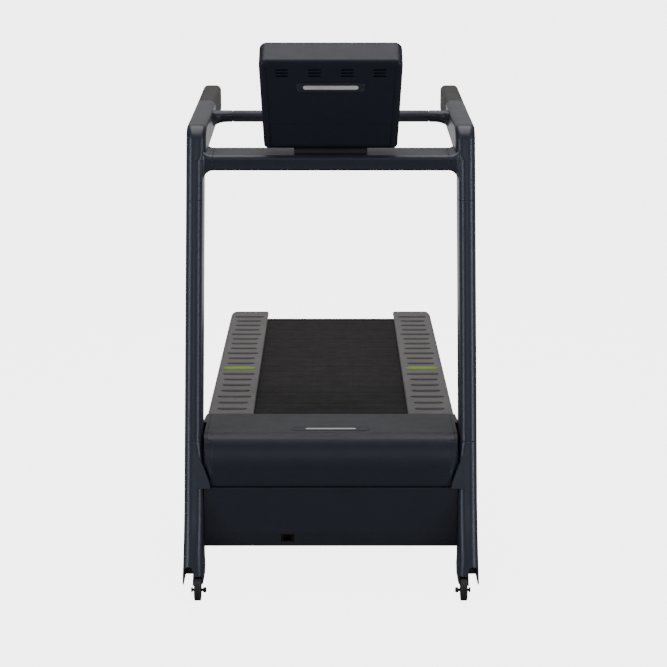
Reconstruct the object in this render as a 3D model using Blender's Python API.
"""Self-powered treadmill: slatted belt on two drums, blade uprights, handrails and a console.

Metres, +Z up, -Y towards the front hood, +X to the right seen from the front. The origin is on
the floor at the middle of the object's box. Pieces come in left and right copies where side is
-1 or +1, and touching pieces keep a small gap.
"""

import math

import bmesh
import bpy
from mathutils import Matrix, Vector

# Driving dimensions
HALF_WIDTH = 0.46
HALF_LENGTH = 1.065
GAP = 0.0003
SKIN = 0.004

# Uprights and legs: front edge leans back at LEAN and curls forward near the floor
BLADE_WIDTH = 0.054
BLADE_DEPTH = 0.155
BLADE_RADIUS = 0.026
LEAN = 0.296
LEAN_POINT = (-0.626, 1.242)
FOOT_CURL = 0.094
FOOT_CURL_TOP = 0.30
FOOT_BOTTOM = 0.050
LEG_TOP = 0.460
LEG_INNER = 0.399
UPRIGHT_TOP = 1.189
CORNER_SEAM = 1.3155
TUBE_WALL = 0.0035

# Crossbar
BAR_HALF = 0.375
BAR_FRONT = -0.602
BAR_DEPTH = 0.150
BAR_THICKNESS = 0.050
BAR_RADIUS = 0.014
BAR_MIDDLE_Z = 1.3085
BAR_RISE = math.radians(4.1)

# Handrails
ARM_WIDTH = 0.064
ARM_HEIGHT = 0.100
ARM_RADIUS = 0.018
ARM_POINT = (-0.431, 1.426)
ARM_RISE = math.radians(3.0)
ARM_BEND_OUTER = 0.065
ARM_BEND_INNER = 0.012
GRIP_START = -0.03
GRIP_END = 0.35
GRIP_WALL = 0.006
BRANCH_Y = -0.150
BRANCH_Z = 1.406
BRANCH_END = 0.3335
GRIP_BAR_RADIUS = 0.020

# Deck, belt and drums
COVER_TOP = 0.481
COVER_OUTER = 0.405
COVER_INNER = 0.2525
COVER_FRONT = -0.588
COVER_REAR = HALF_LENGTH
COVER_SKIRT = 0.0412
DRUM_Y = (-0.775, 0.955)
DRUM_Z = 0.389
DRUM_RADIUS = 0.070
DRUM_HALF = 0.250
SHAFT_RADIUS = 0.0125
BELT_INNER = 0.0715
BELT_THICKNESS = 0.013
BELT_HALF = 0.265
BELT_SAG = 0.008

# Base frame
BEAM_X = (0.290, 0.350)
BEAM_Z = (0.235, 0.315)
BEAM_Y = (-0.835, 1.040)
SKIRT_X = (0.3945, 0.3985)
REAR_LEG_Y = (0.865, 0.945)

# Hood and front plate
HOOD_BACK = -0.5885
HOOD_FRONT = -0.885
HOOD_ROLL = (0.070, 0.125)
HOOD_HALF_BACK = 0.389
HOOD_HALF_FRONT = 0.374
HOOD_STEP_Y = -0.850
HOOD_BOTTOM = 0.3200
PLATE_FRONT = -0.888
PLATE_CREASE = 0.1755
PLATE_BOTTOM = 0.1235
INLET_AT = (-0.136, 0.153)
INLET_SIZE = (0.041, 0.027)

# Transport wheels
WHEEL_AXLE = (-1.031, 0.034)
WHEEL_RADIUS = 0.034
WHEEL_X = (0.4010, 0.4220)
AXLE_RADIUS = 0.005

# Generator
GENERATOR_YZ = (-0.690, 0.195)
GENERATOR_RADIUS = 0.048
PULLEY_X = (0.354, 0.370)
BIG_PULLEY = 0.060
SMALL_PULLEY = 0.022

# Console, in its own frame: X across, Y through its thickness, Z up its face
CONSOLE_BASE = (0.0, -0.5776, 1.3456)
CONSOLE_TILT = math.radians(29.35)
CONSOLE_HEIGHT = 0.335
CONSOLE_HALF_TOP = 0.2225
CONSOLE_HALF_BOTTOM = 0.2124
CONSOLE_THICKNESS = 0.107
CONSOLE_SPLIT = 0.0950
CONSOLE_CORNER = 0.024
CONSOLE_EDGE = 0.012
KEY_TRAVEL = 0.0025
KEY_FIT = 0.0006

FINISHES = {
    "frame_paint": ((0.022, 0.026, 0.036), 0.38, 0.25),
    "moulded_dark": ((0.016, 0.018, 0.024), 0.48, 0.0),
    "cover_grey": ((0.125, 0.125, 0.120), 0.55, 0.0),
    "belt_rubber": ((0.030, 0.028, 0.030), 0.75, 0.0),
    "grip_rubber": ((0.080, 0.080, 0.078), 0.80, 0.0),
    "marker_green": ((0.200, 0.330, 0.040), 0.50, 0.0),
    "black_plastic": ((0.008, 0.008, 0.010), 0.45, 0.0),
    "steel": ((0.450, 0.450, 0.460), 0.35, 1.0),
    "black_steel": ((0.030, 0.030, 0.032), 0.45, 0.6),
    "stop_red": ((0.500, 0.020, 0.015), 0.40, 0.0),
    "key_grey": ((0.250, 0.255, 0.260), 0.50, 0.0),
    "board_green": ((0.020, 0.120, 0.060), 0.50, 0.0),
    "screen_glass": ((0.004, 0.005, 0.006), 0.08, 0.0),
    "wheel_rubber": ((0.018, 0.018, 0.020), 0.65, 0.0),
}


# Shape tools

def clear_scene():
    for obj in list(bpy.data.objects):
        bpy.data.objects.remove(obj, do_unlink=True)


def finish_material(name):
    """The named finish as a Principled material, made on first use."""
    material = bpy.data.materials.get(name)
    if material is None:
        color, roughness, metallic = FINISHES[name]
        material = bpy.data.materials.new(name)
        material.use_nodes = True
        shader = material.node_tree.nodes["Principled BSDF"]
        shader.inputs["Base Color"].default_value = (*color, 1.0)
        shader.inputs["Roughness"].default_value = roughness
        shader.inputs["Metallic"].default_value = metallic
    return material


def make_object(name, bm, finish, bevel=0.0):
    """Closes the bmesh into a smooth-shaded object with its finish and an optional edge bevel."""
    bmesh.ops.recalc_face_normals(bm, faces=bm.faces)
    mesh = bpy.data.meshes.new(name)
    bm.to_mesh(mesh)
    bm.free()
    mesh.materials.append(finish_material(finish))
    mesh.shade_smooth()
    mesh.set_sharp_from_angle(angle=math.radians(32))
    obj = bpy.data.objects.new(name, mesh)
    bpy.context.scene.collection.objects.link(obj)
    if bevel:
        modifier = obj.modifiers.new("edges", "BEVEL")
        modifier.width = bevel
        modifier.segments = 2
        modifier.limit_method = "ANGLE"
        modifier.angle_limit = math.radians(40)
    return obj


def loft(name, rings, finish, closed=False, bevel=0.0):
    """A skin over rings of equal point counts, capped at its ends or, when closed, joined up."""
    bm = bmesh.new()
    loops = [[bm.verts.new(point) for point in ring] for ring in rings]
    pairs = list(zip(loops, loops[1:]))
    if closed:
        pairs.append((loops[-1], loops[0]))
    for low, high in pairs:
        for i in range(len(low)):
            j = (i + 1) % len(low)
            bm.faces.new((low[i], low[j], high[j], high[i]))
    if not closed:
        bm.faces.new(loops[0])
        bm.faces.new(loops[-1])
    return make_object(name, bm, finish, bevel)


def eased(rings, size=0.0012):
    """The rings with a small chamfer of the given size at both flat ends."""
    def ease(end, following):
        middle = sum((Vector(p) for p in end), Vector()) / len(end)
        inset = [Vector(p) + (middle - Vector(p)).normalized() * size for p in end]
        shoulder = [Vector(p) + (Vector(q) - Vector(p)).normalized() * size for p, q in zip(end, following)]
        return [inset, shoulder]
    return ease(rings[0], rings[1]) + rings[1:-1] + ease(rings[-1], rings[-2])[::-1]


def place(axis, across, up, along):
    """A point of a section drawn in the plane square to axis, at along on that axis."""
    return {"X": Vector((along, across, up)), "Y": Vector((across, along, up)),
            "Z": Vector((across, up, along))}[axis]


def prism(name, outline, axis, start, end, finish, bevel=0.0):
    """An outline extruded along axis: X takes (y, z) points, Y takes (x, z) and Z takes (x, y)."""
    rings = [[place(axis, a, b, along) for a, b in outline] for along in (start, end)]
    return loft(name, rings, finish, bevel=bevel)


def hollow_prism(name, outer, inner, axis, start, end, finish):
    """An open-ended tube between two outlines of equal point counts."""
    rings = [[place(axis, a, b, along) for a, b in outline]
             for outline, along in ((outer, start), (outer, end), (inner, end), (inner, start))]
    return loft(name, rings, finish, closed=True)


def turned(name, profile, centre, axis, finish, sides=32, closed=False):
    """A profile of (radius, along) points turned about axis through centre."""
    rings = []
    for radius, along in profile:
        ring = []
        for k in range(sides):
            angle = 2 * math.pi * k / sides
            ring.append(place(axis, radius * math.cos(angle), radius * math.sin(angle), along))
        rings.append(ring)
    obj = loft(name, rings, finish, closed=closed)
    obj.location = centre
    return obj


def block(name, low, high, finish, bevel=0.0):
    """A box between two corners."""
    outline = [(low[0], low[1]), (high[0], low[1]), (high[0], high[1]), (low[0], high[1])]
    return prism(name, outline, "Z", low[2], high[2], finish, bevel)


def combine(target, operand, operation):
    """Applies one exact Boolean to target and removes the operand."""
    modifier = target.modifiers.new("combine", "BOOLEAN")
    modifier.operation = operation
    modifier.object = operand
    modifier.solver = "EXACT"
    bpy.context.view_layer.update()
    evaluated = target.evaluated_get(bpy.context.evaluated_depsgraph_get())
    mesh = bpy.data.meshes.new_from_object(evaluated)
    target.modifiers.clear()
    old = target.data
    target.data = mesh
    mesh.name = target.name
    bpy.data.meshes.remove(old)
    spent = operand.data
    bpy.data.objects.remove(operand, do_unlink=True)
    bpy.data.meshes.remove(spent)
    bm = bmesh.new()
    bm.from_mesh(mesh)
    bmesh.ops.remove_doubles(bm, verts=bm.verts, dist=0.00002)
    bmesh.ops.dissolve_degenerate(bm, edges=bm.edges, dist=0.00002)
    bm.to_mesh(mesh)
    bm.free()
    mesh.shade_smooth()
    mesh.set_sharp_from_angle(angle=math.radians(32))
    return target


def join(target, *operands):
    for operand in operands:
        combine(target, operand, "UNION")
    return target


def cut(target, *cutters):
    for cutter in cutters:
        combine(target, cutter, "DIFFERENCE")
    return target


def arc(centre, radius, start_deg, end_deg, steps):
    """Points of an arc, both ends included; radius may be a pair for an ellipse."""
    wide, high = radius if isinstance(radius, tuple) else (radius, radius)
    points = []
    for k in range(steps + 1):
        angle = math.radians(start_deg + (end_deg - start_deg) * k / steps)
        points.append((centre[0] + wide * math.cos(angle), centre[1] + high * math.sin(angle)))
    return points


def rounded(width, height, radius, steps=5, centre=(0.0, 0.0)):
    """A rounded rectangle, counter-clockwise."""
    radius = min(radius, width / 2 - 1e-4, height / 2 - 1e-4)
    half_w, half_h = width / 2 - radius, height / 2 - radius
    points = []
    for k, (sx, sy) in enumerate(((1, 1), (-1, 1), (-1, -1), (1, -1))):
        corner = (centre[0] + sx * half_w, centre[1] + sy * half_h)
        points += arc(corner, radius, 90 * k, 90 * k + 90, steps)
    return points


def smooth(value):
    value = min(max(value, 0.0), 1.0)
    return value * value * (3 - 2 * value)


def side_name(side, piece):
    return ("left_" if side < 0 else "right_") + piece


def mirrored(side, ring):
    return [Vector((side * p[0], p[1], p[2])) for p in ring]


# Uprights, legs and corners

def front_edge(z):
    """The y of the uprights' front edge at height z."""
    line = LEAN_POINT[0] + (z - LEAN_POINT[1]) * LEAN
    curl = max(0.0, (FOOT_CURL_TOP - z) / FOOT_CURL_TOP)
    return line - FOOT_CURL * curl * curl


def blade_ring(z, inner, depth=BLADE_DEPTH, radius=BLADE_RADIUS, inset=0.0):
    """A level section through a leg or an upright."""
    width = HALF_WIDTH - inner - 2 * inset
    middle = ((HALF_WIDTH + inner) / 2, front_edge(z) + depth / 2)
    outline = rounded(width, depth - 2 * inset, radius - inset * 0.5, 6, middle)
    return [Vector((x, y, z)) for x, y in outline]


def make_upright(side):
    low, high = LEG_TOP + GAP, UPRIGHT_TOP
    inner = HALF_WIDTH - BLADE_WIDTH
    outer_rings = [blade_ring(low, inner), blade_ring(high, inner)]
    wall_rings = [blade_ring(high, inner, inset=TUBE_WALL), blade_ring(low, inner, inset=TUBE_WALL)]
    rings = [mirrored(side, ring) for ring in outer_rings + wall_rings]
    return loft(side_name(side, "upright"), rings, "frame_paint", closed=True)


def make_leg(side):
    """The lower casting: blade, gusset towards the hood, arched foot and wheel pocket."""
    name = side_name(side, "leg")
    levels = (FOOT_BOTTOM, 0.075, 0.10, 0.13, 0.17, 0.22, 0.28, 0.34, 0.39, 0.42, 0.44, LEG_TOP)
    rings = []
    for z in levels:
        widening = 0.007 * smooth((LEG_TOP - z) / 0.04) + 0.004 * smooth((0.12 - z) / 0.05)
        rings.append(mirrored(side, blade_ring(z, HALF_WIDTH - BLADE_WIDTH - widening)))
    leg = loft(name, eased(rings), "frame_paint")
    join(leg, make_gusset(side))
    arch_x, arch_radius, arch_top = 0.4408, 0.014, 0.0985
    arch = [(side * x, z) for x, z in
            [(arch_x - arch_radius, 0.0)] + [(arch_x + arch_radius, 0.0)]
            + arc((arch_x, arch_top - arch_radius), arch_radius, 0, 180, 8)]
    pocket_x = (side * (WHEEL_X[0] - 0.0013), side * (WHEEL_X[1] + 0.0013))
    wheel_y, wheel_z = WHEEL_AXLE
    cut(leg,
        prism("arch", arch, "Y", -1.2, -0.93, "frame_paint"),
        block("pocket", (min(pocket_x), wheel_y - 0.06, 0.0),
              (max(pocket_x), wheel_y + WHEEL_RADIUS + 0.004, wheel_z + WHEEL_RADIUS + 0.005), "frame_paint"),
        turned("axle_hole", [(AXLE_RADIUS + GAP, -0.03), (AXLE_RADIUS + GAP, 0.03)],
               (side * 0.413, wheel_y, wheel_z), "X", "frame_paint", sides=16))
    return leg


def make_gusset(side):
    """The thin web that spreads inwards from the leg's front edge over the hood's lower corner."""
    rings = []
    thickness = 0.011
    bottom, top = HOOD_BOTTOM - 0.0005, 0.455
    for k in range(10):
        share = k / 9
        z = bottom + (top - bottom) * share
        inner, outer = 0.424 - 0.048 * (1 - (share + smooth(share)) / 2), 0.438
        outline = rounded(outer - inner, thickness, 0.004, 2,
                          ((inner + outer) / 2, front_edge(z) + 0.0005 + thickness / 2))
        rings.append(mirrored(side, [Vector((x, y, z)) for x, y in outline]))
    return loft("gusset", rings, "frame_paint")


def stub(side):
    """The crossbar's end that swells into the corner with fillets below and above."""
    rings = []
    blade_inner = HALF_WIDTH - BLADE_WIDTH
    for k in range(9):
        turn = math.pi / 2 * min(k, 7) / 7
        x = BAR_HALF + GAP + (blade_inner + 0.001 - BAR_HALF) * math.sin(turn)
        swell = 1 - math.cos(turn)
        if k == 8:
            x = blade_inner + 0.026
        top = BAR_THICKNESS / 2 + 0.0235 * swell
        bottom = BAR_THICKNESS / 2 + 0.0425 * swell
        outline = rounded(BAR_DEPTH - 0.002 * swell, top + bottom, BAR_RADIUS, 5, (0.0, (top - bottom) / 2))
        rings.append(mirrored(side, [bar_point(x, a, b, LEAN * swell) for a, b in outline]))
    return loft("stub", rings, "frame_paint")


def bar_point(x, along, up, shear=0.0):
    """A point of the crossbar's section, which rises towards the rear."""
    middle = BAR_FRONT + BAR_DEPTH / 2
    y = middle + along * math.cos(BAR_RISE) - up * math.sin(BAR_RISE) + shear * up
    return Vector((x, y, BAR_MIDDLE_Z + along * math.sin(BAR_RISE) + up * math.cos(BAR_RISE)))


def make_lower_corner(side):
    inner = HALF_WIDTH - BLADE_WIDTH
    rings = [mirrored(side, blade_ring(z, inner)) for z in (UPRIGHT_TOP + GAP, 1.25, CORNER_SEAM + 0.012)]
    corner = loft(side_name(side, "lower_corner"), eased(rings), "frame_paint")
    join(corner, stub(side))
    return cut(corner, block("above", (-1, -1, CORNER_SEAM - GAP), (1, 1, 2), "frame_paint"))


def arm_top(y):
    return ARM_POINT[1] + (y - ARM_POINT[0]) * math.tan(ARM_RISE)


def fillet(corner, before, after, radius, steps):
    """Points of an arc that rounds a corner between two unit directions in the YZ plane."""
    turn = math.acos(before[0] * after[0] + before[1] * after[1])
    reach = radius * math.tan(turn / 2)
    start = (corner[0] - before[0] * reach, corner[1] - before[1] * reach)
    spin = 1 if before[0] * after[1] - before[1] * after[0] > 0 else -1
    centre = (start[0] - spin * before[1] * radius, start[1] + spin * before[0] * radius)
    points = []
    for k in range(steps + 1):
        angle = spin * turn * k / steps
        dy, dz = start[0] - centre[0], start[1] - centre[1]
        points.append((centre[0] + dy * math.cos(angle) - dz * math.sin(angle),
                       centre[1] + dy * math.sin(angle) + dz * math.cos(angle)))
    return points


def line_crossing(lean_y, lean_z, drop):
    """Where a leaning blade edge meets the arm's edge that lies drop below its top."""
    slope = math.tan(ARM_RISE)
    height = arm_top(lean_y) - drop - lean_z
    y = lean_y + height * LEAN / (1 - slope * LEAN)
    return y, arm_top(y) - drop


def arm_ring(outer, inner, inside, radius, inset=0.0):
    """A section across the handrail between its outer and inner edge points in the YZ plane."""
    top, bottom = Vector((0, *outer)), Vector((0, *inner))
    up = (top - bottom).normalized()
    outline = rounded(HALF_WIDTH - inside - 2 * inset, (top - bottom).length - 2 * inset, radius, 6)
    middle = Vector(((HALF_WIDTH + inside) / 2, 0, 0)) + (top + bottom) / 2
    return [middle + Vector((a, 0, 0)) + up * b for a, b in outline]


def arm_section(y, inset=0.0):
    """An upright section of the straight arm at y."""
    square = Vector((0, -math.sin(ARM_RISE), math.cos(ARM_RISE)))
    top = Vector((0, y, arm_top(y)))
    bottom = top - square * ARM_HEIGHT
    inside = HALF_WIDTH - ARM_WIDTH
    return arm_ring((top.y, top.z), (bottom.y, bottom.z), inside, ARM_RADIUS - inset / 2, inset)


def make_handrail(side):
    """Upper corner, arm, inner core for the grip and the branch for the grip bar, in one casting."""
    blade_inner, arm_inner = HALF_WIDTH - BLADE_WIDTH, HALF_WIDTH - ARM_WIDTH
    seam, shoulder, heel = CORNER_SEAM - 0.010, CORNER_SEAM + 0.024, CORNER_SEAM + 0.001
    up = Vector((LEAN, 1.0)).normalized()
    back = Vector((math.cos(ARM_RISE), math.sin(ARM_RISE)))
    outer_corner = line_crossing(front_edge(seam), seam, 0.0)
    inner_corner = line_crossing(front_edge(seam) + BLADE_DEPTH, seam, ARM_HEIGHT / math.cos(ARM_RISE))
    outer = fillet(outer_corner, up, back, ARM_BEND_OUTER, 7)
    inner = fillet(inner_corner, up, back, ARM_BEND_INNER, 7)
    rings = [arm_ring((front_edge(top), top), (front_edge(low) + BLADE_DEPTH, low), inside, BLADE_RADIUS)
             for top, low, inside in ((seam, seam, blade_inner), (shoulder, heel, arm_inner))]
    for k, (high, low) in enumerate(zip(outer, inner)):
        radius = BLADE_RADIUS + (ARM_RADIUS - BLADE_RADIUS) * k / 7
        rings.append(arm_ring(high, low, arm_inner, radius))
    rings += [arm_section(GRIP_START - 0.25), arm_section(GRIP_START - 0.0012),
              arm_section(GRIP_START, 0.0012), arm_section(GRIP_START + 0.0001, GRIP_WALL),
              arm_section(GRIP_END - 0.030, GRIP_WALL)]
    rail = loft(side_name(side, "handrail"), [mirrored(side, ring) for ring in rings], "frame_paint")
    join(rail, stub(side), branch(side))
    return cut(rail, block("below", (-1, -1, 0), (1, 1, CORNER_SEAM), "frame_paint"))


def branch(side):
    """The curved root that carries the grip bar, from the arm's inner face to the joint."""
    rings = []
    root = HALF_WIDTH - ARM_WIDTH + 0.012
    for k in range(8):
        part = k / 7
        x = root + (BRANCH_END - root) * part
        flare = (1 - part) ** 3.5
        outline = arc((BRANCH_Y - 0.02 * flare, BRANCH_Z - 0.012 * flare),
                      (GRIP_BAR_RADIUS + 0.028 * flare, GRIP_BAR_RADIUS + 0.014 * flare), 0, 360, 20)[:-1]
        rings.append(mirrored(side, [Vector((x, y, z)) for y, z in outline]))
    return loft("branch", rings, "frame_paint")


def make_grip(side):
    """A soft sleeve with a closed rounded end over the arm's core."""
    stations = [(GRIP_START + 0.0006, 0.0010), (GRIP_START + 0.0020, 0.0), (GRIP_END - 0.014, 0.0),
                (GRIP_END - 0.007, 0.0019), (GRIP_END - 0.002, 0.0072), (GRIP_END, 0.0140)]
    rings = [mirrored(side, arm_section(y, inset)) for y, inset in stations]
    sleeve = loft(side_name(side, "grip"), rings, "grip_rubber")
    core = [arm_section(y, GRIP_WALL - GAP * 1.5) for y in (GRIP_START - 0.01, GRIP_END - 0.029)]
    return cut(sleeve, loft("core", [mirrored(side, ring) for ring in core], "grip_rubber"))


def make_crossbar():
    outline = rounded(BAR_DEPTH, BAR_THICKNESS, BAR_RADIUS, 6)
    wall = rounded(BAR_DEPTH - 2 * TUBE_WALL, BAR_THICKNESS - 2 * TUBE_WALL, BAR_RADIUS - TUBE_WALL, 6)
    rings = [[bar_point(x, a, b) for a, b in section]
             for section, x in ((outline, -BAR_HALF), (outline, BAR_HALF), (wall, BAR_HALF), (wall, -BAR_HALF))]
    return loft("crossbar", rings, "frame_paint", closed=True)


def make_grip_bar():
    end = BRANCH_END - GAP
    radius = GRIP_BAR_RADIUS - 0.0006
    profile = [(radius - 0.002, -end), (radius, -end + 0.0015), (radius, end - 0.0015), (radius - 0.002, end),
               (radius - 0.003, end), (radius - 0.003, -end)]
    return turned("grip_bar", profile, (0, BRANCH_Y, BRANCH_Z), "X", "frame_paint", 20, closed=True)


# Hood, front plate and side pieces

def hood_line(front, top, bottom, inset=0.0):
    """Side view of the hood's skin from its rear edge over the roll to its tucked lower edge."""
    wide, high = (size - inset for size in HOOD_ROLL)
    return [(HOOD_BACK, top)] + arc((front + wide, top - high), (wide, high), 90, 180, 10) + [(front + 0.005, bottom)]


def make_hood():
    outer = hood_line(HOOD_FRONT, COVER_TOP, HOOD_BOTTOM)
    inner = hood_line(HOOD_FRONT + SKIN, COVER_TOP - SKIN, HOOD_BOTTOM, SKIN)
    hood = prism("hood", outer + inner[::-1], "X", -HOOD_HALF_BACK, HOOD_HALF_BACK, "moulded_dark")
    for side in (-1, 1):
        edges = (side * HOOD_HALF_FRONT, side * 0.42)
        cut(hood, block("corner", (min(edges), -1.0, 0.2), (max(edges), HOOD_STEP_Y, 0.6), "moulded_dark"))
    return hood


def make_end_cap(side):
    """The moulded piece that closes the hood's end and wraps its front corner."""
    top, near, far = COVER_TOP - 0.0006, HOOD_HALF_BACK + GAP, SKIRT_X[1]
    tucked = hood_line(HOOD_FRONT + 0.016, top, HOOD_BOTTOM, 0.008) + [(HOOD_BACK, HOOD_BOTTOM)]
    cap = prism(side_name(side, "hood_end_cap"), tucked, "X", *sorted((side * near, side * far)), "moulded_dark")
    flush = hood_line(HOOD_FRONT + 0.001, top, HOOD_BOTTOM) + [(HOOD_BACK, HOOD_BOTTOM)]
    start = HOOD_HALF_FRONT + GAP
    nose = prism("nose", flush, "X", *sorted((side * start, side * far)), "moulded_dark")
    corner = [(start, HOOD_STEP_Y - GAP), (start, -0.884), (0.381, -0.8795), (0.388, -0.874), (0.393, -0.8705),
              (0.3965, -0.866), (0.3965, HOOD_STEP_Y - GAP)]
    combine(nose, prism("plan", [(side * x, y) for x, y in corner], "Z", 0.3, 0.6, "moulded_dark"), "INTERSECT")
    cheek = [(near, HOOD_BACK), (COVER_OUTER, HOOD_BACK), (0.4095, -0.660), (0.4095, -0.6935), (near, -0.6935)]
    return join(cap, nose, prism("cheek", [(side * x, y) for x, y in cheek], "Z", HOOD_BOTTOM, top, "moulded_dark"))


def make_front_plate():
    """The lower front panel: upright, then leaning back under a crease, with the inlet's window."""
    front = [(PLATE_FRONT, HOOD_BOTTOM - 0.001), (PLATE_FRONT, PLATE_CREASE), (PLATE_FRONT + 0.014, PLATE_BOTTOM)]
    rear = [(y + SKIN, z) for y, z in front]
    half = SKIRT_X[1]
    plate = prism("front_plate", front + rear[::-1], "X", -half, half, "moulded_dark")
    wide, high = INLET_SIZE[0] + 2 * GAP, INLET_SIZE[1] + 2 * GAP
    x, z = INLET_AT
    return cut(plate, block("window", (x - wide / 2, -1, z - high / 2), (x + wide / 2, -0.8, z + high / 2),
                            "moulded_dark"))


def make_power_inlet():
    """A recessed inlet body with three contact blades standing in its well."""
    x, z = INLET_AT
    front = PLATE_FRONT + 0.0085
    half_w, half_h = INLET_SIZE[0] / 2, INLET_SIZE[1] / 2
    outline = [(x - half_w, z + half_h), (x - half_w, z - half_h), (x + half_w, z - half_h), (x + half_w, z + half_h)]
    inlet = prism("power_inlet", outline, "Y", front, front + 0.028, "black_plastic")
    well = [(x - 0.013, z + 0.005), (x - 0.013, z - 0.009), (x + 0.013, z - 0.009), (x + 0.013, z + 0.005),
            (x + 0.009, z + 0.009), (x - 0.009, z + 0.009)]
    cut(inlet, prism("well", well, "Y", front - 0.01, front + 0.018, "black_plastic"))
    for dx, dz in ((-0.007, -0.002), (0.0, 0.003), (0.007, -0.002)):
        blade = block("contact", (x + dx - 0.001, front + 0.004, z + dz - 0.003),
                      (x + dx + 0.001, front + 0.020, z + dz + 0.003), "black_plastic")
        join(inlet, blade)
    return inlet


def cover_plan(side, inset):
    """The foot rail seen from above: square at the hood, rounded at its free rear corners."""
    outer, inner, rear = COVER_OUTER - inset, COVER_INNER + inset, COVER_REAR - inset
    big, small = 0.034 - inset, 0.012 - inset
    plan = [(inner, COVER_FRONT - inset), (outer, COVER_FRONT - inset)]
    plan += arc((outer - big, rear - big), big, 0, 90, 5) + arc((inner + small, rear - small), small, 90, 180, 3)
    return [(side * x, y) for x, y in plan]


def make_side_cover(side):
    """The foot rail: a moulded lid with a rolled outer edge, closed at its rear end."""
    top, low, roll, edge = COVER_TOP, COVER_TOP - COVER_SKIRT, 0.020, 0.0055

    def bar(name, outer, inner, high, radius, floor):
        section = [(inner, floor)] + arc((inner + edge, high - edge), edge, 180, 90, 3)
        section += arc((outer - radius, high - radius), radius, 90, 0, 6)
        return prism(name, [(side * x, z) for x, z in section + [(outer, floor)]], "Y", COVER_FRONT, 1.2, "cover_grey")

    cover = bar(side_name(side, "side_cover"), COVER_OUTER, COVER_INNER, top, roll, low)
    combine(cover, prism("plan", cover_plan(side, 0.0), "Z", 0.3, 0.6, "cover_grey"), "INTERSECT")
    void = bar("void", COVER_OUTER - SKIN, COVER_INNER + SKIN, top - SKIN, roll - SKIN, low - 0.01)
    void.location.y = -0.02
    combine(void, prism("plan", cover_plan(side, SKIN), "Z", 0.3, 0.6, "cover_grey"), "INTERSECT")
    cut(cover, void, block("belt_clearance", (-COVER_INNER - 0.02, -1, low - 0.01),
                           (COVER_INNER + 0.02, COVER_REAR + 0.1, top - 0.0065), "cover_grey"))
    return cover


def make_marker_strip(side):
    """The coloured standing mark that lies on the foot rail, a little above its surface."""
    x, y, half = 0.3255, 0.052, (0.0585, 0.0130)
    outline = rounded(2 * half[0], 2 * half[1], half[1] * 0.9, 3, (side * x, y))
    return prism(side_name(side, "marker_strip"), outline, "Z", COVER_TOP + GAP, COVER_TOP + 0.0022, "marker_green")


def make_side_skirt(side):
    """The dark side panel, deeper at the front where it closes the drive bay."""
    low_rear, low_front, high_rear = BEAM_Z[0], PLATE_BOTTOM + 0.005, COVER_TOP - COVER_SKIRT - GAP
    front = PLATE_FRONT + SKIN + 0.015
    rear = COVER_REAR - 0.0215
    outline = [(rear, high_rear), (COVER_FRONT, high_rear), (COVER_FRONT, HOOD_BOTTOM - GAP),
               (front, HOOD_BOTTOM - GAP), (front, low_front), (-0.60, low_front), (-0.47, low_rear),
               (rear, low_rear)]
    return prism(side_name(side, "side_skirt"), outline, "X", *sorted((side * SKIRT_X[0], side * SKIRT_X[1])),
                 "moulded_dark")


def make_rear_cover():
    """The rear end piece: a shallow tray that closes the base below the belt's turn."""
    low, high, depth, half = BEAM_Z[0], COVER_TOP - COVER_SKIRT - GAP, 0.018, COVER_OUTER - 0.003
    notch, curve = 0.385, 0.030
    right = [(half, low), (half, high), (COVER_INNER + 0.035, high)]
    right += arc((COVER_INNER + 0.035 - curve, notch + curve), curve, 0, -90, 4)
    left = [(-x, z) for x, z in reversed(right)]
    return prism("rear_cover", right + left, "Y", COVER_REAR - 0.003 - depth, COVER_REAR - 0.003, "moulded_dark",
                 bevel=0.003)


# Belt, drums and base frame

def belt_path(offset):
    """The belt's loop in side view, offset outwards from the drums' inner belt radius."""
    radius = BELT_INNER + offset
    half_span = (DRUM_Y[1] - DRUM_Y[0]) / 2
    middle = (DRUM_Y[1] + DRUM_Y[0]) / 2
    mean_radius = BELT_INNER + BELT_THICKNESS / 2
    reach = (half_span ** 2 + BELT_SAG ** 2) / (2 * BELT_SAG)
    bend = reach - mean_radius
    angle = math.degrees(math.asin(half_span / reach))
    centre = (middle, DRUM_Z + math.sqrt(reach ** 2 - half_span ** 2))
    run = bend + mean_radius - radius
    points = arc((DRUM_Y[1], DRUM_Z), radius, -90, 90 + angle, 17)
    points += arc(centre, run, -90 + angle, -90 - angle, 20)[1:-1]
    points += arc((DRUM_Y[0], DRUM_Z), radius, 90 - angle, 270, 17)
    return points


def make_slat_belt():
    return hollow_prism("slat_belt", belt_path(BELT_THICKNESS), belt_path(0.0), "X", -BELT_HALF, BELT_HALF,
                        "belt_rubber")


def make_drum(name, y, shaft_end):
    """An open-ended tube on a central web and a through shaft; the front one carries a pulley."""
    wall, web = 0.004, 0.006
    inside = DRUM_RADIUS - wall
    profile = [(SHAFT_RADIUS, -0.322), (SHAFT_RADIUS, -web), (inside, -web), (inside, -DRUM_HALF),
               (DRUM_RADIUS, -DRUM_HALF), (DRUM_RADIUS, DRUM_HALF), (inside, DRUM_HALF), (inside, web),
               (SHAFT_RADIUS, web)]
    if shaft_end > PULLEY_X[1]:
        low, high = PULLEY_X
        profile += [(SHAFT_RADIUS, low), (BIG_PULLEY + 0.003, low), (BIG_PULLEY + 0.003, low + 0.002),
                    (BIG_PULLEY, low + 0.002), (BIG_PULLEY, high - 0.002), (BIG_PULLEY + 0.003, high - 0.002),
                    (BIG_PULLEY + 0.003, high), (SHAFT_RADIUS, high)]
    profile.append((SHAFT_RADIUS, shaft_end))
    return turned(name, profile, (0, y, DRUM_Z), "X", "black_steel", 20)


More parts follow.
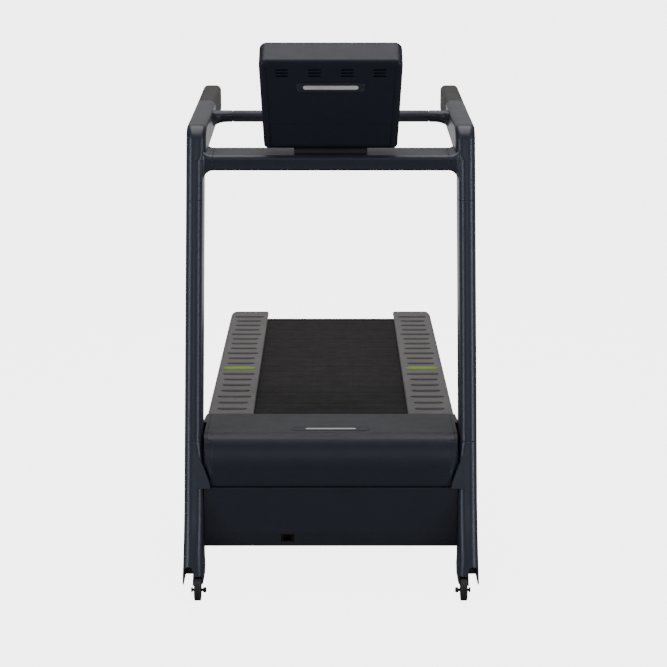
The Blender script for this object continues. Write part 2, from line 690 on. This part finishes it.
def make_bearing(side, end, y):
    """A pillow block: a foot on the beam and a round housing bored for the shaft."""
    bottom = BEAM_Z[1] + GAP - DRUM_Z
    outline = [(-0.050, bottom), (0.050, bottom), (0.050, bottom + 0.014), (0.034, bottom + 0.020)]
    outline += arc((0, 0), 0.032, 0, 180, 12)
    outline += [(-0.034, bottom + 0.020), (-0.050, bottom + 0.014)]
    low, high = sorted((side * 0.298, side * 0.338))
    housing = prism(f"{end}_{side_name(side, 'bearing')}", outline, "X", low, high, "black_steel")
    bore = turned("bore", [(SHAFT_RADIUS + 0.0005, -0.03), (SHAFT_RADIUS + 0.0005, 0.03)],
                  (side * 0.318, 0, 0), "X", "black_steel", sides=16)
    cut(housing, bore)
    housing.location = (0, y, DRUM_Z)
    return housing


def make_side_frame(side):
    outer = [(side * x, z) for x, z in ((BEAM_X[0], BEAM_Z[0]), (BEAM_X[1], BEAM_Z[0]),
                                        (BEAM_X[1], BEAM_Z[1]), (BEAM_X[0], BEAM_Z[1]))]
    middle = (side * sum(BEAM_X) / 2, sum(BEAM_Z) / 2)
    inner = [(x + math.copysign(TUBE_WALL, middle[0] - x), z + math.copysign(TUBE_WALL, middle[1] - z))
             for x, z in outer]
    return hollow_prism(side_name(side, "side_frame"), outer, inner, "Y", *BEAM_Y, "frame_paint")


def make_cross_tube(name, half, y, z, size):
    """A square tube across the frame."""
    outer = [(y - size / 2, z - size / 2), (y + size / 2, z - size / 2), (y + size / 2, z + size / 2),
             (y - size / 2, z + size / 2)]
    inner = [(a + math.copysign(TUBE_WALL, y - a), b + math.copysign(TUBE_WALL, z - b)) for a, b in outer]
    return hollow_prism(name, outer, inner, "X", -half, half, "frame_paint")


def make_deck_frame():
    """Two curved rails under the belt's top run, on three bridges that stand on the side frames."""
    stations = [DRUM_Y[0] + 0.11 + (DRUM_Y[1] - DRUM_Y[0] - 0.22) * k / 12 for k in range(13)]
    middle = sum(DRUM_Y) / 2
    half_span = (DRUM_Y[1] - DRUM_Y[0]) / 2
    base = DRUM_Z + BELT_INNER - 0.0010
    tops = [(y, base - BELT_SAG * (1 - ((y - middle) / half_span) ** 2)) for y in stations]
    outline = tops + [(y, z - 0.030) for y, z in reversed(tops)]
    rails = [prism(f"rail{side}", outline, "X", *sorted((side * 0.185, side * 0.225)), "black_steel")
             for side in (-1, 1)]
    deck = None
    for y in (-0.52, 0.09, 0.70):
        low, high, foot = 0.385, 0.432, BEAM_Z[1] + GAP
        bridge = [(-0.340, high), (-0.340, foot), (-0.300, foot), (-0.300, low), (0.300, low), (0.300, foot),
                  (0.340, foot), (0.340, high)]
        piece = prism("deck_frame" if deck is None else "bridge", bridge, "Y", y - 0.02, y + 0.02, "black_steel")
        if deck is None:
            deck = piece
            join(deck, *rails)
        else:
            join(deck, piece)
    return deck


def make_rear_leg(side):
    """A post from the beam down to the levelling foot's socket."""
    low, high = 0.040, BEAM_Z[0] - GAP
    wide = [(side * BEAM_X[0], REAR_LEG_Y[0]), (side * BEAM_X[1], REAR_LEG_Y[0]),
            (side * BEAM_X[1], REAR_LEG_Y[1]), (side * BEAM_X[0], REAR_LEG_Y[1])]
    middle = Vector((side * sum(BEAM_X) / 2, sum(REAR_LEG_Y) / 2, 0))
    rings = [[Vector((x, y, z)) for x, y in wide] for z in (high, 0.16)]
    rings.append([middle + (Vector((x, y, 0)) - middle) * 0.75 + Vector((0, 0, low)) for x, y in wide])
    leg = loft(side_name(side, "rear_leg"), rings, "frame_paint", bevel=0.004)
    socket = turned("socket", [(0.0068, 0.03), (0.0068, 0.075)], middle, "Z", "frame_paint", sides=16)
    return cut(leg, socket)


def make_rear_foot(side):
    """A levelling foot: rubber pad, lock nut and threaded stem."""
    profile = [(0.026, 0.0), (0.029, 0.003), (0.028, 0.010), (0.014, 0.016), (0.012, 0.0165), (0.012, 0.024),
               (0.006, 0.0245), (0.006, 0.070)]
    middle = (side * sum(BEAM_X) / 2, sum(REAR_LEG_Y) / 2, 0)
    return turned(side_name(side, "rear_foot"), profile, middle, "Z", "black_plastic", 16)


def make_wheel(side):
    low, high = (-(WHEEL_X[1] - WHEEL_X[0]) / 2, (WHEEL_X[1] - WHEEL_X[0]) / 2)
    bore, tread, hub = AXLE_RADIUS + 0.0005, WHEEL_RADIUS, 0.012
    profile = [(bore, low), (hub, low), (hub + 0.002, low + 0.004), (tread - 0.009, low + 0.004),
               (tread - 0.008, low), (tread - 0.0025, low), (tread, low + 0.0030), (tread, high - 0.0030),
               (tread - 0.0025, high), (tread - 0.008, high), (tread - 0.009, high - 0.004),
               (hub + 0.002, high - 0.004), (hub, high), (bore, high)]
    centre = (side * sum(WHEEL_X) / 2, *WHEEL_AXLE)
    return turned(side_name(side, "transport_wheel"), profile, centre, "X", "wheel_rubber", 20, closed=True)


def make_wheel_axle(side):
    """The axle bolt: its head in the arch, its nut on the leg's inner face."""
    head, shank, inner_face = 0.0085, AXLE_RADIUS - 0.0002, 0.3946
    profile = [(0.006, 0.3846), (head, 0.3856), (head, inner_face), (shank, inner_face), (shank, 0.4275),
               (head, 0.4275), (head, 0.4315), (0.006, 0.4325)]
    return turned(side_name(side, "wheel_axle"), [(r, side * x) for r, x in profile], (0, *WHEEL_AXLE), "X",
                  "black_steel", 12)


def make_generator():
    """The finned brake generator on its shaft, with a mounting foot."""
    low, high, radius = 0.110, 0.275, GENERATOR_RADIUS
    profile = [(0.008, low - 0.012), (0.020, low - 0.010), (0.034, low), (radius - 0.006, low + 0.006)]
    fins = 4
    pitch = (high - low - 0.030) / fins
    for k in range(fins):
        start = low + 0.015 + pitch * k
        profile += [(radius, start), (radius, start + pitch * 0.5), (radius - 0.006, start + pitch * 0.55),
                    (radius - 0.006, start + pitch * 0.95)]
    profile += [(radius - 0.006, high - 0.006), (0.034, high), (0.008, high + 0.004), (0.008, 0.372)]
    body = turned("generator", profile, (0, *GENERATOR_YZ), "X", "black_steel", 12)
    y, z = GENERATOR_YZ
    return join(body, block("foot", (0.130, y - 0.030, z - 0.066), (0.250, y + 0.030, z - 0.030), "black_steel"))


def make_generator_pulley():
    low, high = PULLEY_X
    bore = 0.0085
    profile = [(bore, low), (SMALL_PULLEY + 0.003, low), (SMALL_PULLEY + 0.003, low + 0.002),
               (SMALL_PULLEY, low + 0.002), (SMALL_PULLEY, high - 0.002), (SMALL_PULLEY + 0.003, high - 0.002),
               (SMALL_PULLEY + 0.003, high), (bore, high)]
    return turned("generator_pulley", profile, (0, *GENERATOR_YZ), "X", "steel", 14, closed=True)


def pulley_loop(offset):
    """The open drive belt's outline round both pulleys."""
    big, small = BIG_PULLEY + offset, SMALL_PULLEY + offset
    first, second = Vector((DRUM_Y[0], DRUM_Z)), Vector(GENERATOR_YZ)
    span = second - first
    heading = math.degrees(math.atan2(span.y, span.x))
    lean = math.degrees(math.acos((big - small) / span.length))
    points = arc(first, big, heading + lean, heading + 360 - lean, 18)
    points += arc(second, small, heading - lean, heading + lean, 10)
    return points


def make_drive_belt():
    low, high = PULLEY_X[0] + 0.0025, PULLEY_X[1] - 0.0025
    return hollow_prism("drive_belt", pulley_loop(0.0035), pulley_loop(0.0010), "X", low, high, "belt_rubber")


def make_belly_pan():
    """The tray under the drive bay, folded up at its rear edge."""
    low, half = PLATE_BOTTOM + 0.001, SKIRT_X[0] - 0.001
    front = PLATE_FRONT + SKIN + 0.016
    outline = [(front, low), (-0.595, low), (-0.480, 0.225), (-0.4845, 0.229), (-0.5975, low + 0.004),
               (front, low + 0.004)]
    return prism("belly_pan", outline, "X", -half, half, "black_plastic")


# Console

def console_outline(grow=0.0):
    """The slab's face outline: narrower at its foot, round at its corners."""
    top, bottom = CONSOLE_HALF_TOP + grow, CONSOLE_HALF_BOTTOM + grow
    radius = CONSOLE_CORNER + grow
    low, high = -grow, CONSOLE_HEIGHT + grow
    right = arc((top - radius, high - radius), radius, 90, 0, 6)
    right += arc((bottom - radius * 0.6, low + radius * 0.6), radius * 0.6, 0, -90, 4)
    return right + [(-x, z) for x, z in reversed(right)]


def console_loft(name, stations, finish):
    """Rings of the console outline at (depth, growth) stations through its thickness."""
    return loft(name, [[Vector((x, y, z)) for x, z in console_outline(grow)] for y, grow in stations], finish)


def vent_cutters():
    """Four groups of three slots near the top of the back face."""
    cutters = []
    for x in (-0.1515, -0.0505, 0.0505, 0.1515):
        for row in range(3):
            z = 0.2772 + 0.0114 * row
            cutters.append(block("slot", (x - 0.019, -0.01, z - 0.0024), (x + 0.019, 0.02, z + 0.0024),
                                 "moulded_dark"))
    return cutters


def make_console_back():
    edge = CONSOLE_EDGE
    stations = [(edge * (1 - math.sin(math.pi / 2 * k / 5)), -edge * (1 - math.cos(math.pi / 2 * k / 5)))
                for k in range(5, -1, -1)]
    cover = console_loft("console_back_cover", stations + [(CONSOLE_SPLIT, 0.0)], "moulded_dark")
    wall = 0.0032
    cut(cover,
        console_loft("inside", [(0.0062, -0.012), (0.012, -wall), (CONSOLE_SPLIT + 0.01, -wall)], "moulded_dark"),
        prism("recess", console_outline(-0.0205), "Y", -0.01, 0.0025, "moulded_dark"),
        block("access_window", (-0.1905, -0.01, 0.0100), (0.1905, 0.02, 0.0995), "moulded_dark"),
        *vent_cutters())
    return cover


def make_access_cover():
    """The lower service cover, flush in its window, with two fixing recesses."""
    cover = block("console_access_cover", (-0.1900, 0.0028, 0.0105), (0.1900, 0.0060, 0.0990), "moulded_dark")
    for x in (-0.1165, 0.1200):
        cut(cover, turned("recess", [(0.0045, -0.001), (0.0045, 0.0045)], (x, 0.0, 0.0920), "Y", "moulded_dark", 12))
    return cover


KEYS = (
    ("stop_button", 0.0, 0.0180, "stop_red"),
    ("start_button", 0.062, 0.0120, "key_grey"),
    ("level_up_key", -0.062, 0.0120, "key_grey"),
    ("level_down_key", -0.112, 0.0120, "key_grey"),
    ("safety_key", 0.130, 0.0100, "stop_red"),
)
KEY_Z = 0.058


def make_bezel():
    """The user's side of the console: rounded face, screen window and key holes."""
    back, face = CONSOLE_SPLIT + GAP, CONSOLE_THICKNESS
    bezel = console_loft("console_bezel", [(back, 0.0), (face - 0.005, 0.0), (face - 0.0015, -0.0015),
                                           (face, -0.005)], "moulded_dark")
    cut(bezel,
        block("pocket", (-0.19, back - 0.01, 0.03), (0.19, back + 0.004, 0.305), "moulded_dark"),
        block("window", (-0.1503, back, 0.1097), (0.1503, face + 0.01, 0.2903), "moulded_dark"))
    for _, x, radius, _ in KEYS:
        hole = [(radius + KEY_FIT, back - 0.005), (radius + KEY_FIT, face + 0.01)]
        cut(bezel, turned("hole", hole, (x, 0, KEY_Z), "Y", "moulded_dark", 16))
    return bezel


def make_screen():
    back = CONSOLE_SPLIT + GAP
    return block("display_screen", (-0.1500, back + 0.0055, 0.1100), (0.1500, CONSOLE_THICKNESS - 0.0015, 0.2900),
                 "screen_glass")


def make_control_board():
    return block("control_board", (-0.180, 0.0800, 0.032), (0.180, 0.0820, 0.300), "board_green")


def make_key(name, x, radius, finish):
    """A domed push key whose skirt stands just behind the bezel's face."""
    face = CONSOLE_THICKNESS
    top = face + 0.0040
    flange = 0.0015
    profile = [(radius + flange, face - 0.0125), (radius + flange, face - 0.0110), (radius, face - 0.0110),
               (radius, top - 0.0020), (radius - 0.0008, top - 0.0006), (radius - 0.0030, top)]
    if name == "safety_key":
        profile = [(radius, face - 0.0060), (radius, face + 0.0060), (radius - 0.0035, face + 0.0085),
                   (radius - 0.0035, face + 0.0130), (radius + 0.0040, face + 0.0145),
                   (radius + 0.0040, face + 0.0180), (radius, face + 0.0200)]
    profile = [(r, y - face) for r, y in profile]
    return turned(name, profile, (x, face, KEY_Z), "Y", finish, 16)


def make_console_bracket():
    """The block that carries the console on the crossbar."""
    foot = [bar_point(0, along, BAR_THICKNESS / 2 + GAP * 1.5) for along in (-0.040, 0.062)]
    tilt = Matrix.Rotation(CONSOLE_TILT, 3, "X")
    top = [Vector(CONSOLE_BASE) + tilt @ Vector((0, y, -0.0006)) for y in (0.088, 0.020)]
    outline = [(p.y, p.z) for p in foot + top]
    return prism("console_bracket", outline, "X", -0.1165, 0.1165, "black_steel")


def make_console():
    """The console's pieces, made in its own frame and hung on one tilted empty."""
    tilt = bpy.data.objects.new("console_tilt", None)
    bpy.context.scene.collection.objects.link(tilt)
    tilt.location = CONSOLE_BASE
    tilt.rotation_euler = (CONSOLE_TILT, 0, 0)
    pieces = [make_console_back(), make_access_cover(), make_bezel(), make_screen(), make_control_board()]
    pieces += [make_key(*key) for key in KEYS]
    for piece in pieces:
        piece.parent = tilt
    make_console_bracket()


def main():
    clear_scene()
    for side in (-1, 1):
        make_leg(side)
        make_upright(side)
        make_lower_corner(side)
        make_handrail(side)
        make_grip(side)
        make_end_cap(side)
        make_side_cover(side)
        make_marker_strip(side)
        make_side_skirt(side)
        make_side_frame(side)
        make_rear_leg(side)
        make_rear_foot(side)
        make_wheel(side)
        make_wheel_axle(side)
        make_bearing(side, "front", DRUM_Y[0])
        make_bearing(side, "rear", DRUM_Y[1])
    make_crossbar()
    make_grip_bar()
    make_hood()
    make_front_plate()
    make_power_inlet()
    make_rear_cover()
    make_slat_belt()
    make_drum("front_drum", DRUM_Y[0], 0.373)
    make_drum("rear_drum", DRUM_Y[1], 0.322)
    make_deck_frame()
    make_cross_tube("front_cross_tube", 0.3940, -0.858, 0.262, 0.045)
    make_cross_tube("rear_cross_tube", BEAM_X[0] - GAP, 0.60, 0.262, 0.045)
    make_generator()
    make_generator_pulley()
    make_drive_belt()
    make_belly_pan()
    make_console()


main()
